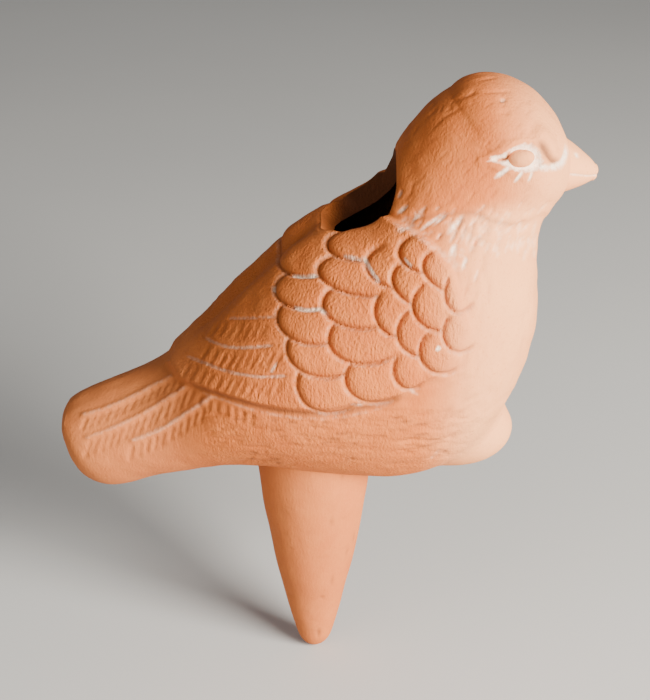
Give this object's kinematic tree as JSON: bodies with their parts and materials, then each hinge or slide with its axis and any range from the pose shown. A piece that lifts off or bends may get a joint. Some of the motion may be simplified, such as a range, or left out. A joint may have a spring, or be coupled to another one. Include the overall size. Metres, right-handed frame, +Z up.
{
  "type": "bird-shaped plant watering spike",
  "caption": "Hollow songbird-shaped ceramic watering spike: filled behind the neck, it seeps water into soil through a tapered spike.",
  "frame": {"origin": "on the soil spike's axis at the soil line, level with the underside of the belly", "axes": "+Z up along the spike, +X towards the beak, -Y is the bird's right side"},
  "size_m": [0.1198, 0.0608, 0.1433],
  "materials": {
    "body_clay": "unglazed terracotta, matt, with pale lime in the tooled lines",
    "spike_clay": "unglazed terracotta, smoothed, matt",
    "beak_clay": "unglazed terracotta, smoothed, matt",
    "eye_clay": "unglazed terracotta, matt",
    "foot_clay": "unglazed terracotta, matt"
  },
  "bodies": {
    "root": {"right_body_half": "body_clay", "left_body_half": "body_clay", "soil_spike": "spike_clay", "beak": "beak_clay", "right_eye": "eye_clay", "left_eye": "eye_clay", "front_foot": "foot_clay"}
  },
  "joints": []
}
